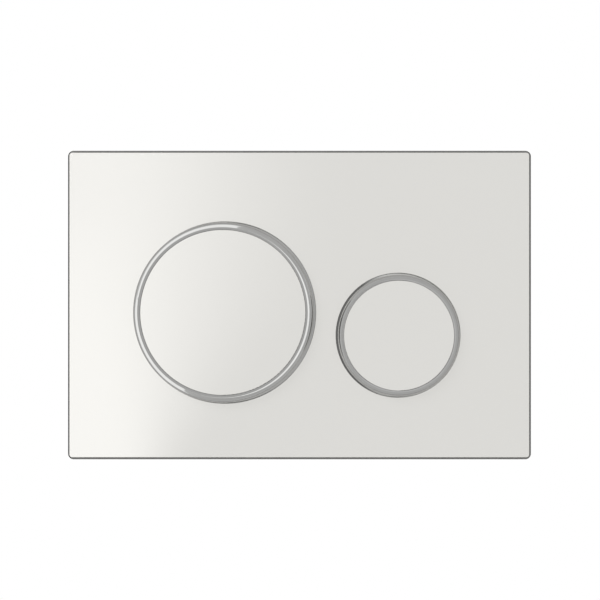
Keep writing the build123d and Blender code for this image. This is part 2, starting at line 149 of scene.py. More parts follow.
def welded_copy(name, node, body, material, easing=0.0):
    """The node's own solid, in place of the node: triangles welded, flat runs joined, the rest smooth.

    Its sharp edges are eased by easing metres, or stay sharp if that is zero.
    """
    piece = bpy.data.objects.new(name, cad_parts[node].data.copy())
    scene.collection.objects.link(piece)
    solid = bmesh.new()
    solid.from_mesh(piece.data)
    bmesh.ops.remove_doubles(solid, verts=solid.verts, dist=weld_gap)
    bmesh.ops.dissolve_limit(solid, angle_limit=flat_run, verts=solid.verts, edges=solid.edges)
    solid.to_mesh(piece.data)
    solid.free()
    for loose_shading in ("custom_normal", "sharp_edge", "sharp_face"):
        if loose_shading in piece.data.attributes:
            piece.data.attributes.remove(piece.data.attributes[loose_shading])
    piece.data.polygons.foreach_set("use_smooth", np.ones(len(piece.data.polygons), bool))
    piece.data.set_sharp_from_angle(angle=round_run)
    if easing:
        bevel = piece.modifiers.new("eased_edges", "BEVEL")
        bevel.width = easing
        bevel.segments = 2
        bevel.limit_method = "ANGLE"
        bevel.angle_limit = sharp_corner
        bevel.use_clamp_overlap = False
        bevel.harden_normals = True
    else:
        flats = piece.modifiers.new("flat_faces", "WEIGHTED_NORMAL")
        flats.keep_sharp = True
        flats.weight = 90
    piece.data.materials.clear()
    piece.data.materials.append(material)
    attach(piece, body)
    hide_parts(node)


frame_plastic = moulded_plastic("mid_grey_moulding", colour=(0.34, 0.35, 0.36), roughness=0.48, grain=0.25)
welded_copy("frame_moulding", "mounting_frame", "plate", frame_plastic, easing=0.00025)

# Spacer bolts. Light grey plastic bolts, one each side of the opening, with a coin slot across the head, a
# plain shoulder through the frame and a long rounded thread that is cut to length on site.
mm = 0.001


def span_of(node):
    """The lowest and highest corners of a node's box, in millimetres."""
    low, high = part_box(node)
    return np.array(low) / mm, np.array(high) / mm


def depth_axis_of(node):
    """The point at depth zero on the depth axis through the middle of a node's box, in millimetres."""
    low, high = span_of(node)
    return (low + high) / 2 * np.array([1.0, 0.0, 1.0])


def turn_angles(count):
    """Even angles round a circle."""
    return np.linspace(0, 2 * np.pi, count, endpoint=False)


def plain_rows(radius, count):
    """Round rows, each of one radius all the way."""
    return np.asarray(radius, float)[:, None] * np.ones(count)


def turned_grid(radius, along, count):
    """Rings round the depth axis: x is radius times cosine, z is radius times sine, y is the place along."""
    angle = turn_angles(count)
    radius = np.broadcast_to(np.asarray(radius, float).reshape(len(along), -1), (len(along), count))
    along = np.broadcast_to(np.asarray(along, float)[:, None], radius.shape)
    return np.stack([radius * np.cos(angle), along, radius * np.sin(angle)], axis=-1)


def threaded(along, core, depth, pitch, start, end, count):
    """Radius of a thread: core less depth times a wave of the turns along and round.

    The wave is clipped flat at the crest and the root, and fades over one pitch at start and end.
    """
    swell = 0.9
    fade = np.clip((along - start) / pitch, 0, 1) * np.clip((end - along) / pitch, 0, 1)
    turn = along[:, None] / pitch - turn_angles(count)[None, :] / (2 * np.pi)
    groove = np.clip(0.5 - swell * np.cos(2 * np.pi * turn), 0, 1)
    return core - depth * fade[:, None] * groove


def grid_faces(rows, count, ring_closed):
    """Faces of a grid whose rows close round, four corners each.

    The last row meets the first if ring_closed is true, and otherwise both ends are flat.
    """
    corner = np.arange(rows * count).reshape(rows, count)
    beside = np.roll(corner, -1, axis=1)
    if ring_closed:
        above, above_beside = np.roll(corner, -1, axis=0), np.roll(beside, -1, axis=0)
        return np.stack([corner, beside, above_beside, above], axis=-1).reshape(-1, 4).tolist()
    quads = np.stack([corner[:-1], beside[:-1], beside[1:], corner[1:]], axis=-1).reshape(-1, 4).tolist()
    return quads + [corner[0].tolist(), corner[-1].tolist()]


seam_gap = 1e-7
grid_crease = radians(30)


def piece_from_grids(name, grids, body, material, node, ring_closed=False):
    """One piece from grids of points in millimetres, each a closed shell, in place of a node.

    It rides on body, unless that is None, and then it is left unattached.
    """
    points, faces, first = [], [], 0
    for grid in grids:
        rows, count = grid.shape[:2]
        points.append(grid.reshape(-1, 3) * mm)
        faces += [[corner + first for corner in face] for face in grid_faces(rows, count, ring_closed)]
        first += rows * count
    mesh = bpy.data.meshes.new(name)
    mesh.from_pydata(np.concatenate(points).tolist(), [], faces)
    shell = bmesh.new()
    shell.from_mesh(mesh)
    bmesh.ops.remove_doubles(shell, verts=shell.verts, dist=seam_gap)
    bmesh.ops.recalc_face_normals(shell, faces=shell.faces)
    shell.to_mesh(mesh)
    shell.free()
    mesh.polygons.foreach_set("use_smooth", np.ones(len(mesh.polygons), bool))
    mesh.set_sharp_from_angle(angle=grid_crease)
    piece = bpy.data.objects.new(name, mesh)
    scene.collection.objects.link(piece)
    mesh.materials.append(material)
    if body:
        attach(piece, body)
    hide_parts(node)
    return piece


bolt_plastic = moulded_plastic("light_grey_moulding", colour=(0.6, 0.61, 0.6), roughness=0.42, grain=0.12)
bolt_head_height = 2.0
bolt_head_ease = 0.3
bolt_slot_half = 0.7
bolt_slot_depth = bolt_head_height / 2
bolt_shoulder = 3.4
bolt_shoulder_chamfer = 0.25
bolt_shoulder_ease = 0.15
bolt_thread = 3.0
bolt_thread_start = 0.2
bolt_pitch = 2.0
bolt_groove = 0.6
bolt_run_out = 1.0
bolt_tip_chamfer = 0.75


def slotted_head_grid(radius, front):
    """Slices across the head, each a closed strip that is sunk where the slot runs.

    A slice's half height is the root of the radius squared less x squared.
    """
    slices = 41
    swing = radius * np.cos(np.linspace(np.pi, 0, slices))
    cut = [-bolt_slot_half, -bolt_slot_half, bolt_slot_half, bolt_slot_half]
    x = np.sort(np.concatenate([swing[np.abs(swing) > bolt_slot_half], cut]))
    half = np.sqrt(np.clip(radius**2 - x**2, 0, None))
    sunk = np.zeros(len(x))
    middle = len(x) // 2
    sunk[middle - 1:middle + 1] = bolt_slot_depth
    ease = np.minimum(bolt_head_ease, half)
    face = front + sunk
    back = np.full(len(x), front + bolt_head_height)
    strip_z = np.stack([-half, -half, ease - half, half - ease, half, half], axis=-1)
    strip_y = np.stack([back, face + ease, face, face, face + ease, back], axis=-1)
    return np.stack([np.broadcast_to(x[:, None], strip_z.shape), strip_y, strip_z], axis=-1)


def bolt_shank_grid(front, tip):
    """A plain shoulder down to the wall's face at depth zero, then a threaded shank with a chamfered tip."""
    rows, count = 560, 48
    along = np.linspace(bolt_thread_start, tip - bolt_tip_chamfer, rows)
    shank = threaded(along, bolt_thread, bolt_groove, bolt_pitch, 0.0, tip - bolt_run_out, count)
    shoulder = plain_rows([bolt_shoulder, bolt_shoulder, bolt_shoulder - bolt_shoulder_chamfer], count)
    end = plain_rows([bolt_thread - bolt_tip_chamfer], count)
    depth = np.concatenate([[front + bolt_head_height, -bolt_shoulder_ease, 0.0], along, [tip]])
    return turned_grid(np.concatenate([shoulder, shank, end]), depth, count)


for side_name in ("left", "right"):
    bolt_node = f"{side_name}_spacer_bolt"
    low, high = span_of(bolt_node)
    bolt_grids = [slotted_head_grid((high[0] - low[0]) / 2, low[1]), bolt_shank_grid(low[1], high[1])]
    piece_from_grids(
        f"{side_name}_threaded_bolt",
        [grid + depth_axis_of(bolt_node) for grid in bolt_grids],
        "plate",
        bolt_plastic,
        bolt_node,
    )

# Hinge chassis. A dark grey moulding screwed to the back of the plate, with the hinge ears at its sides and
# four hooks that snap behind the mounting frame.
chassis_plastic = moulded_plastic("dark_grey_moulding", colour=(0.12, 0.125, 0.13), roughness=0.5, grain=0.3)
welded_copy("chassis_moulding", "hinge_chassis", "plate", chassis_plastic, easing=0.0002)

# Chassis and rocker screws. Zinc-plated pan-head screws with a cross recess, driven from behind into the
# blind bosses of the plate and of the caps.


def plated_steel(name, colour, roughness, stretch):
    """Zinc-plated steel: fine lines drawn out along stretch, cloudy passivation tones and an uneven gloss."""
    cloud_cells, gloss_cells, line_cells = 220.0, 2200.0, 2600.0
    line_depth, line_strength = 0.00002, 0.2
    material = finish_named(name)
    tone = shade_of(material, noise_of(material, cloud_cells, 3.0), colour, 0.82, 1.1)
    uneven = noise_of(material, gloss_cells, 3.0, stretch)
    gloss = range_of(material, uneven, roughness - 0.08, roughness + 0.1)
    relief = relief_of(material, noise_of(material, line_cells, 2.0, stretch), line_depth, line_strength)
    dress(material, {"Base Color": tone, "Roughness": gloss, "Normal": relief, "Metallic": 1.0})
    return material


screw_steel = plated_steel("zinc_plated_steel", (0.66, 0.66, 0.64), roughness=0.3, stretch=(1.0, 0.2, 1.0))
screw_head_radius = 2.6
screw_head_height = 1.6
screw_rim_height = 0.45
screw_dome_reach = 3.1
screw_shank = 1.15
screw_point_radius = 0.5
screw_point_length = 0.7
cross_half = 0.42
cross_side_slope = 0.14
cross_reach = 1.5
cross_end_slope = 0.25
cross_depth = 0.95
pole_radius = 0.02


def pan_head_grids(x, z, tip, crown):
    """A domed head with a cross recess, and a pointed shank from the head's seat to the tip.

    The dome is the root of one less the fourth power of the radius over its reach. It is sunk where the
    lesser of x and z is within half a bar of the cross.
    """
    count, ring_gap = 64, 0.15
    seat = crown - screw_head_height
    recess_rings = np.linspace(ring_gap, cross_reach + ring_gap, 16)
    rim_rings = screw_head_radius - np.array([0.7, 0.45, 0.2, 0.07, 0.0, 0.0])
    ring = np.concatenate([[pole_radius], recess_rings, rim_rings])
    dome = seat + screw_head_height * np.sqrt(1 - (ring / screw_dome_reach) ** 4)
    dome[-2:] = seat + screw_rim_height, seat
    head = turned_grid(ring, dome, count)
    bar = np.minimum(np.abs(head[..., 0]), np.abs(head[..., 2]))
    reach = np.hypot(head[..., 0], head[..., 2])
    within_bar = np.clip((cross_half - bar) / cross_side_slope, 0, 1)
    within_reach = np.clip((cross_reach - reach) / cross_end_slope, 0, 1)
    head[..., 1] -= cross_depth * within_bar * within_reach
    shank_radius = [screw_shank, screw_shank, screw_point_radius]
    shank = turned_grid(shank_radius, [seat, tip + screw_point_length, tip], count)
    place = np.array([x, 0.0, z])
    return [head + place, shank + place]


def screw_places(node, middles):
    """The four corners of the screws' box, a head's radius in from it, and a pair at each of the middles."""
    low, high = span_of(node)
    columns = [low[0] + screw_head_radius, *middles, high[0] - screw_head_radius]
    rows = [low[2] + screw_head_radius, high[2] - screw_head_radius]
    return [(x, z, low[1], high[1]) for x in columns for z in rows]


between_buttons = (span_of("large_button_cap")[1][0] + span_of("small_button_cap")[0][0]) / 2
screw_sets = {
    "chassis_screws": ("plate", [between_buttons]),
    "large_rocker_screws": ("large_button", []),
    "small_rocker_screws": ("small_button", []),
}
for screw_node, (screw_body, middles) in screw_sets.items():
    screw_name = screw_node.replace("screws", "pan_heads")
    screws = [grid for place in screw_places(screw_node, middles) for grid in pan_head_grids(*place)]
    piece_from_grids(screw_name, screws, screw_body, screw_steel, screw_node)

# Rockers. Off-white levers that close the caps' backs and swing on the hinge pins, ribbed between the
# knuckles, with a slit socket that the rod's ball snaps into.
rocker_plastic = moulded_plastic("off_white_moulding", colour=(0.78, 0.77, 0.73), roughness=0.38, grain=0.12)
for button in ("large", "small"):
    welded_copy(
        f"{button}_lever",
        f"{button}_button_rocker",
        f"{button}_button",
        rocker_plastic,
        easing=0.0002,
    )

# Hinge pins. Turned steel pins, dropped through the ears and knuckles from above until the head sits on the
# upper ear.
pin_steel = plated_steel("bright_pin_steel", (0.7, 0.7, 0.69), roughness=0.22, stretch=(1.0, 1.0, 0.15))
pin_radius = 1.25
pin_foot_chamfer = 0.35
pin_head_radius = 2.2
pin_head_height = 1.0
pin_head_ease = 0.2
pin_crown_ease = 0.25


def pin_grid(node):
    """A stepped profile turned round an upright axis: chamfered foot, plain shank, head with eased edges."""
    low, high = span_of(node)
    foot, crown = low[2], high[2]
    under_head = crown - pin_head_height
    eased_head = pin_head_radius - pin_head_ease
    profile = np.array([
        [pin_radius - pin_foot_chamfer, foot],
        [pin_radius, foot + pin_foot_chamfer],
        [pin_radius, under_head],
        [eased_head, under_head],
        [pin_head_radius, under_head + pin_head_ease],
        [pin_head_radius, crown - pin_crown_ease],
        [eased_head, crown],
    ])
    turned = turned_grid(profile[:, 0], profile[:, 1], count=40)
    upright_axis = (low + high) / 2 * np.array([1.0, 1.0, 0.0])
    return turned[..., [0, 2, 1]] + upright_axis


for button in ("large", "small"):
    pin_node = f"{button}_hinge_pin"
    piece_from_grids(f"{button}_turned_pin", [pin_grid(pin_node)], "plate", pin_steel, pin_node)

# Return springs. Torsion springs of hard-drawn wire round the pins: the short leg stands in the chassis and
# the long leg presses on the seat at the rocker's back, and bends back with it when the button is pressed.
spring_steel = plated_steel("spring_wire", (0.52, 0.52, 0.53), roughness=0.26, stretch=(1.0, 1.0, 1.0))
coil_radius = 2.6
coil_pitch = 0.85
coil_turns = 4.25
coil_rows = 220
wire_radius = 0.35
wire_points = 14
short_leg = 4.6
long_leg = 12.5
leg_rows = 16


def spring_grid(hinge, side):
    """A round wire along a helix, with a straight leg along the tangent at each end, mirrored by side."""
    coil = np.linspace(0, 2 * np.pi * coil_turns, coil_rows)
    sweep = np.concatenate([np.zeros(leg_rows), coil, np.full(leg_rows, coil[-1])])
    short = np.linspace(-short_leg, 0, leg_rows, endpoint=False)
    long = np.linspace(long_leg, 0, leg_rows, endpoint=False)[::-1]
    leg = np.concatenate([short, np.zeros(coil_rows), long])
    climb = coil_pitch / (2 * np.pi)
    level = np.zeros_like(sweep)
    outward = np.stack([np.cos(sweep), np.sin(sweep), level], axis=-1)
    tangent = np.stack([-np.sin(sweep), np.cos(sweep), level + climb / coil_radius], axis=-1)
    tangent /= np.linalg.norm(tangent, axis=-1, keepdims=True)
    across = np.cross(tangent, outward)
    middle = coil_radius * outward + leg[:, None] * tangent
    middle[:, 2] += climb * sweep - coil_pitch * coil_turns / 2
    angle = turn_angles(wire_points)[None, :, None]
    wire = np.cos(angle) * outward[:, None] + np.sin(angle) * across[:, None]
    grid = middle[:, None] + wire_radius * wire
    return grid * np.array([side, 1.0, 1.0]) + hinge


for button, side in (("large", -1), ("small", 1)):
    pin_low, pin_high = span_of(f"{button}_hinge_pin")
    hinge = (pin_low + pin_high) / 2
    hinge[2] = depth_axis_of(f"{button}_button_ring")[2]
    spring = piece_from_grids(
        f"{button}_torsion_spring",
        [spring_grid(hinge, side)],
        None,
        spring_steel,
        f"{button}_return_spring",
    )
    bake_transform(spring)

# Stop buffers. Soft black rubber pads, moulded with a rounded face and stuck to the chassis. The rockers'
# lugs rest on them, so that a button comes back softly.


def soft_rubber(name):
    """Soft black rubber: mottled over millimetres, with a dull uneven gloss and a fine skin."""
    mottle_cells, gloss_cells, skin_cells = 500.0, 900.0, 3000.0
    skin_depth, skin_strength = 0.00005, 0.3
    material = finish_named(name)
    mottle = noise_of(material, mottle_cells, 3.0)
    tone = ramp_of(material, mottle, low=(0.025, 0.025, 0.025), high=(0.06, 0.06, 0.06))
    gloss = range_of(material, noise_of(material, gloss_cells), 0.65, 0.85)
    relief = relief_of(material, noise_of(material, skin_cells), skin_depth, skin_strength)
    dress(material, {"Base Color": tone, "Roughness": gloss, "Normal": relief})
    return material


rubber = soft_rubber("buffer_rubber")
pad_radius = 3.0
pad_heights = np.array([0.0, 0.65, 0.85, 0.97, 1.0])
pad_rounding = np.array([0.0, 0.0, 0.07, 0.25, 0.6])
for button in ("large", "small"):
    pad_node = f"{button}_stop_buffers"
    low, high = span_of(pad_node)
    pad = turned_grid(pad_radius - pad_rounding, low[1] + pad_heights, count=40)
    pad_x = (low[0] + high[0]) / 2
    pads = [pad + np.array([pad_x, 0.0, z]) for z in (low[2] + pad_radius, high[2] - pad_radius)]
    piece_from_grids(f"{button}_rubber_pads", pads, "plate", rubber, pad_node)

# Push rods. A ball end with a fluted grip, a rod that screws into it, and a lock nut, so that the reach can
# be set to the depth of the wall. The rod's plain end works in the cistern.
ball_radius = 4.0
neck_radius = 2.2
neck_length = 5.0
neck_fillet_back = np.array([1.3, 0.9, 0.4, 0.1, 0.0])
neck_fillet_rise = np.array([0.0, 0.0, 0.15, 0.55, 0.9])
sleeve_radius = 4.5
sleeve_front_ease = (0.4, 0.5)
sleeve_back_ease = (0.3, 0.4)
sleeve_bore = 2.55
sleeve_floor = 2.0
bore_chamfer = 0.2
flute_count = 12
flute_depth = 0.45
flute_inset = 2.1
flute_run_out = 0.6
collar_length = 1.9
rod_thread = 2.5
rod_groove = 0.42
rod_pitch = 1.0
rod_floor_gap = 0.2
rod_thread_spare = 6.0
rod_run_out = 0.4
rod_radius = 3.0
rod_shoulder = np.array([rod_thread + 0.1, rod_radius])
rod_shoulder_along = np.array([0.01, 0.3])
rod_tip_back = np.array([0.75, 0.2, 0.0])
rod_tip_rounding = np.array([0.0, 0.4, 0.75])
nut_flat = 5.0
nut_cone_depth = np.array([0.0, 0.12, 0.28, 0.6])
nut_cone_rise = np.array([0.05, 0.25, 0.5, 1.0])
nut_bore = 2.55
nut_bore_chamfer = 0.3


def ball_end_grid(front, back):
    """A profile turned round the rod: ball, waisted neck, fluted sleeve, and its bore down to a floor.

    A flute's depth is the square of half of one plus the cosine of the angle times the number of flutes.
    """
    count = 96
    swing = np.linspace(np.pi - 0.01, np.arcsin(neck_radius / ball_radius), 22)
    middle = front + ball_radius
    ball = np.stack([ball_radius * np.sin(swing), middle + ball_radius * np.cos(swing)], axis=-1)
    step = middle + neck_length
    neck = np.stack([neck_radius + neck_fillet_rise, step - neck_fillet_back], axis=-1)
    sleeve = np.array([
        [sleeve_radius - sleeve_front_ease[0], step],
        [sleeve_radius, step + sleeve_front_ease[1]],
        [sleeve_radius, step + flute_inset - flute_run_out],
        [sleeve_radius, step + flute_inset],
        [sleeve_radius, back - collar_length],
        [sleeve_radius, back - collar_length + flute_run_out],
        [sleeve_radius, back - sleeve_back_ease[1]],
        [sleeve_radius - sleeve_back_ease[0], back],
    ])
    bore = np.array([
        [sleeve_bore + bore_chamfer, back],
        [sleeve_bore, back - bore_chamfer],
        [sleeve_bore, step + sleeve_floor],
        [pole_radius, step + sleeve_floor],
    ])
    profile = np.concatenate([ball, neck, sleeve, bore])
    radius = plain_rows(profile[:, 0], count)
    first_fluted = len(ball) + len(neck) + 3
    flute = (0.5 + 0.5 * np.cos(flute_count * turn_angles(count))) ** 2
    radius[first_fluted:first_fluted + 2] -= flute_depth * flute
    return turned_grid(radius, profile[:, 1], count)


def push_rod_grid(front, nut_back, tip):
    """A thread to a few turns past the nut, then a plain end that is a little thicker, with a round tip."""
    rows, count = 300, 40
    thread_start, thread_end = front + rod_floor_gap, nut_back + rod_thread_spare
    along = np.linspace(thread_start, thread_end, rows)
    run_out = thread_end - rod_run_out
    thread = threaded(along, rod_thread, rod_groove, rod_pitch, thread_start, run_out, count)
    plain = plain_rows([*rod_shoulder, *(rod_radius - rod_tip_rounding)], count)
    plain_along = [*(thread_end + rod_shoulder_along), *(tip - rod_tip_back)]
    return turned_grid(np.concatenate([thread, plain]), np.concatenate([along, plain_along]), count)


def lock_nut_grid(front, back):
    """A hexagon cut by a cone at both faces, with a chamfered bore.

    The hexagon's radius is the flat over the cosine of the angle from the middle of the nearest flat.
    """
    count = 96
    flat_angle = np.mod(turn_angles(count) - np.pi / 3, np.pi / 3) - np.pi / 6
    hexagon = nut_flat / np.cos(flat_angle)
    face = np.minimum(hexagon[None, :], nut_flat + nut_cone_rise[:, None])
    bore = plain_rows([nut_bore + nut_bore_chamfer, nut_bore], count)
    bore_depth = np.array([0.0, nut_bore_chamfer])
    radius = np.concatenate([bore[::-1], face, face[::-1], bore])
    front_half = front + np.concatenate([bore_depth[::-1], nut_cone_depth])
    back_half = back - np.concatenate([nut_cone_depth[::-1], bore_depth])
    return turned_grid(radius, np.concatenate([front_half, back_half]), count)


for rod in ("full_flush", "part_flush"):
    end_node, rod_node, nut_node = f"{rod}_rod_end", f"{rod}_rod", f"{rod}_rod_nut"
    end_low, end_high = span_of(end_node)
    rod_low, rod_high = span_of(rod_node)
    nut_low, nut_high = span_of(nut_node)
    axis = depth_axis_of(rod_node)
    body = f"{rod}_push_rod"
    ball_end = ball_end_grid(end_low[1], end_high[1]) + axis
    threaded_rod = push_rod_grid(rod_low[1], nut_high[1], rod_high[1]) + axis
    lock_nut = lock_nut_grid(nut_low[1], nut_high[1]) + axis
    piece_from_grids(f"{rod}_ball_end", [ball_end], body, rocker_plastic, end_node)
    piece_from_grids(f"{rod}_threaded_rod", [threaded_rod], body, bolt_plastic, rod_node)
    piece_from_grids(
        f"{rod}_lock_nut",
        [lock_nut],
        body,
        chassis_plastic,
        nut_node,
        ring_closed=True,
    )

# Face plate. A moulded grey plastic shell, sprayed pale satin silver on its front, on its sides and in the
# two holes. The spray ends at the back of the front wall, so the hollow behind stays bare.
silver = (0.86, 0.85, 0.826)
silver_metal = 0.88
spray_fade = 0.0003
side_skin = (0.0014, 0.001)


def number_of(material, operation, first, second):
    """The result of one sum on two numbers, either of which may be a source."""
    node = material.node_tree.nodes.new("ShaderNodeMath")
    node.operation = operation
    for socket, value in zip(node.inputs, (first, second)):
        feed(material, socket, value)
    return node.outputs["Value"]


def axes_of(material):
    """The piece's own x, y and z, in metres."""
    nodes, links = material.node_tree.nodes, material.node_tree.links
    place = nodes.new("ShaderNodeTexCoord")
    axes = nodes.new("ShaderNodeSeparateXYZ")
    links.new(place.outputs["Object"], axes.inputs["Vector"])
    return axes.outputs["X"], axes.outputs["Y"], axes.outputs["Z"]


def blend_of(material, kind, share, first, second):
    """A colour or a number, as kind says, between two others by share."""
    mix = material.node_tree.nodes.new("ShaderNodeMix")
    mix.data_type = kind
    for name, source in (("Factor", share), ("A", first), ("B", second)):
        material.node_tree.links.new(source, mix.inputs[name])
    return mix.outputs["Result"]


def spray_satin_silver(material, spray_end, bare_tone, bare_metal, bare_gloss, half_size=None):
    """Pale silver lacquer with fine flake, and the bare piece behind the depth where the spray ends.

    The share of bare surface rises from 0 to 1 over the spray's fade at that depth, and is 0 in the skin of
    the outer sides of a piece whose half width and half height are given.
    """
    flake_cells, satin_cells, gloss_cells, peel_cells = 5200.0, 30.0, 160.0, 900.0
    peel_depth, peel_strength = 0.000004, 0.1
    x, y, z = axes_of(material)
    bare = range_of(material, y, 0.0, 1.0, spray_end, spray_end + spray_fade)
    if half_size:
        for axis, half in zip((x, z), half_size):
            reach = number_of(material, "ABSOLUTE", axis, 0.0)
            inside = range_of(material, reach, 1.0, 0.0, half - side_skin[0], half - side_skin[1])
            bare = number_of(material, "MULTIPLY", bare, inside)
    flake = shade_of(material, noise_of(material, flake_cells, 1.0), silver, 0.985, 1.015, 0.3, 0.7)
    satin = range_of(material, noise_of(material, satin_cells, 3.0), 0.165, 0.185)
    gloss = range_of(material, noise_of(material, gloss_cells, 3.0), bare_gloss - 0.03, bare_gloss + 0.03)
    dress(material, {
        "Base Color": blend_of(material, "RGBA", bare, flake, bare_tone),
        "Metallic": range_of(material, bare, silver_metal, bare_metal, 0.0, 1.0),
        "Roughness": blend_of(material, "FLOAT", bare, satin, gloss),
        "Normal": relief_of(material, noise_of(material, peel_cells, 1.0), peel_depth, peel_strength),
    })


plate_low, plate_high = span_of("face_plate")
plate_half_width, _, plate_half_height = (plate_high - plate_low) / 2 * mm
plate_spray = 1.9
plate_lacquer = finish_named("plate_lacquer")
plate_flow = noise_of(plate_lacquer, cells=45.0, detail=4.0)
plate_grey = ramp_of(plate_lacquer, plate_flow, low=(0.5, 0.505, 0.5), high=(0.53, 0.535, 0.53))
spray_satin_silver(
    plate_lacquer,
    (plate_low[1] + plate_spray) * mm,
    plate_grey,
    bare_metal=0.0,
    bare_gloss=0.5,
    half_size=(plate_half_width, plate_half_height),
)
welded_copy("plate_shell", "face_plate", "plate", plate_lacquer)

# Button caps. Shallow plated cups, sprayed like the plate on their faces only. The plating shows on the
# flange behind the plate's hole. The small cap's flange is painted darker towards the large button, as
# painted shade.
cap_spray = 0.6
# Flange tones. The large cap's flange has the plating's own tone. The small cap's flange is painted lighter
# than that, as painted light, and painted dark where it faces the large button, as painted shade.
flange_plating_and_painted_light = {"large": (0.42, 0.42, 0.415), "small": (0.62, 0.62, 0.612)}
flange_tone_in_painted_shade = {"large": (0.42, 0.42, 0.415), "small": (0.16, 0.16, 0.158)}
painted_shade_share = 0.22
painted_shade_fade_share = 0.38
for button in ("large", "small"):
    cap_node = f"{button}_button_cap"
    cap_low, cap_high = span_of(cap_node)
    cap_width = cap_high[0] - cap_low[0]
    painted_shade_end = (cap_low[0] + painted_shade_share * cap_width) * mm
    painted_shade_fade_end = (cap_low[0] + painted_shade_fade_share * cap_width) * mm
    cap_lacquer = finish_named(f"{button}_cap_lacquer")
    # Painted shade: the flange's tone runs from the dark painted shade near the large button to the lighter
    # tone across it.
    painted_shade_fade = range_of(cap_lacquer, axes_of(cap_lacquer)[0], 0.0, 1.0, painted_shade_end, painted_shade_fade_end)
    flange_tone_and_painted_shade = ramp_of(cap_lacquer, painted_shade_fade, flange_tone_in_painted_shade[button], flange_plating_and_painted_light[button], 0.0, 1.0)
    cap_spray_end = (cap_low[1] + cap_spray) * mm
    spray_satin_silver(cap_lacquer, cap_spray_end, flange_tone_and_painted_shade, bare_metal=1.0, bare_gloss=0.1)
    welded_copy(f"{button}_cap_shell", cap_node, f"{button}_button", cap_lacquer)

# Button rings. Bright plated rings pressed over the caps: a narrow flat land, an outer flank that rounds off
# and dips behind the plate's face, and a lip that slopes down to the cap.
ring_sections = {
    "large": {"crest": 1.2, "flank": 2.9, "land": 1.05, "lip": 1.15},
    "small": {"crest": 0.7, "flank": 3.6, "land": 0.7, "lip": 0.65},
}
ring_shoulder = 50.0
ring_wall = 1.2
ring_foot_chamfer = 0.15
lip_drop = 0.7
lip_ease = 0.06
land_crown = 40.0


def bright_plating(name, colour):
    """Polished plating: nearly a mirror, with faint wiping marks in its gloss and a barely uneven tone."""
    tone_cells, wipe_cells = 60.0, 240.0
    material = finish_named(name)
    tone = shade_of(material, noise_of(material, tone_cells, 3.0), colour, 0.97, 1.02)
    gloss = range_of(material, noise_of(material, wipe_cells, 4.0), 0.03, 0.05)
    dress(material, {"Base Color": tone, "Roughness": gloss, "Metallic": 1.0})
    return material


def arc_points(middle_radius, middle_out, radius, start, end, count):
    """Points of an arc in the section, from one angle to another in degrees."""
    angle = np.radians(np.linspace(start, end, count))
    return np.stack([middle_radius + radius * np.cos(angle), middle_out + radius * np.sin(angle)], axis=-1)


def ring_grid(outer, front, foot, crest, flank, land, lip):
    """A closed section turned round the button: eased lip, crowned land, two arcs of a flank, hollow back.

    The arcs have the radii crest and flank and meet at the shoulder's angle. The land falls by the square of
    the distance from its middle over twice its crown.
    """
    count = 256
    lean, rise = np.cos(radians(ring_shoulder)), np.sin(radians(ring_shoulder))
    land_outer = outer - flank * (1 - lean) - crest * lean
    land_inner = land_outer - land
    bore = land_inner - lip
    flank_middle = land_outer + (crest - flank) * lean
    flank_out = front - crest - (flank - crest) * rise
    slope = np.degrees(np.arctan2(lip_drop, lip))
    ease_middle = land_inner + lip_ease * np.tan(radians(slope / 2))
    land_radius = np.linspace(ease_middle, land_outer, 8)
    land_out = front - (land_radius - land_outer + land / 2) ** 2 / (2 * land_crown)
    ease_arc = arc_points(ease_middle, land_out[0] - lip_ease, lip_ease, 90 + slope, 90, 7)[:-1]
    land_line = np.stack([land_radius, land_out], axis=-1)
    crest_arc = arc_points(land_outer, land_out[-1] - crest, crest, 90, ring_shoulder, 20)[1:]
    flank_arc = arc_points(flank_middle, flank_out, flank, ring_shoulder, 0.0, 24)[1:]
    back = np.array([
        [outer, foot + ring_foot_chamfer],
        [outer - ring_foot_chamfer, foot],
        [outer - ring_wall, foot],
        [outer - ring_wall, flank_out],
        [bore + ring_wall, flank_out],
        [bore + ring_wall, foot],
        [bore, foot],
        [bore, front - lip_drop],
    ])
    profile = np.concatenate([ease_arc, land_line, crest_arc, flank_arc, back])
    return turned_grid(profile[:, 0], -profile[:, 1], count)


plating = bright_plating("bright_ring_plating", colour=(0.42, 0.42, 0.415))
ring_pieces = {}
for button, section in ring_sections.items():
    ring_node = f"{button}_button_ring"
    low, high = span_of(ring_node)
    ring = ring_grid((high[0] - low[0]) / 2, -low[1], -high[1], **section) + depth_axis_of(ring_node)
    ring_pieces[button] = piece_from_grids(
        f"{button}_bright_ring",
        [ring],
        f"{button}_button",
        plating,
        ring_node,
        ring_closed=True,
    )

# Studio. A white floor and surround, and two soft lamps for the whole plate. Only mirrors see the wall in
# front, which glows more at one side, and the four dark flags beside and behind the plate. Three more lamps
# make the bright bands on the large ring.


def studio_sheet(name, corners, material):
    """A flat sheet from four corners in metres."""
    mesh = bpy.data.meshes.new(name)
    mesh.from_pydata(corners, [], [(0, 1, 2, 3)])
    mesh.materials.append(material)
    sheet = bpy.data.objects.new(name, mesh)
    scene.collection.objects.link(sheet)
    return sheet


def glowing_card(name, corners, strength):
    """A sheet that glows and that only mirrors see: its paint, and the socket of its glow's strength."""
    paint = finish_named(name)
    nodes, links = paint.node_tree.nodes, paint.node_tree.links
    nodes.remove(nodes["Principled BSDF"])
    glow = nodes.new("ShaderNodeEmission")
    glow.inputs["Color"].default_value = (1.0, 1.0, 0.99, 1.0)
    glow.inputs["Strength"].default_value = strength
    links.new(glow.outputs["Emission"], nodes["Material Output"].inputs["Surface"])
    sheet = studio_sheet(name, corners, paint)
    sheet.visible_camera = False
    sheet.visible_diffuse = False
    sheet.visible_transmission = False
    sheet.visible_shadow = False
    return paint, glow.inputs["Strength"]


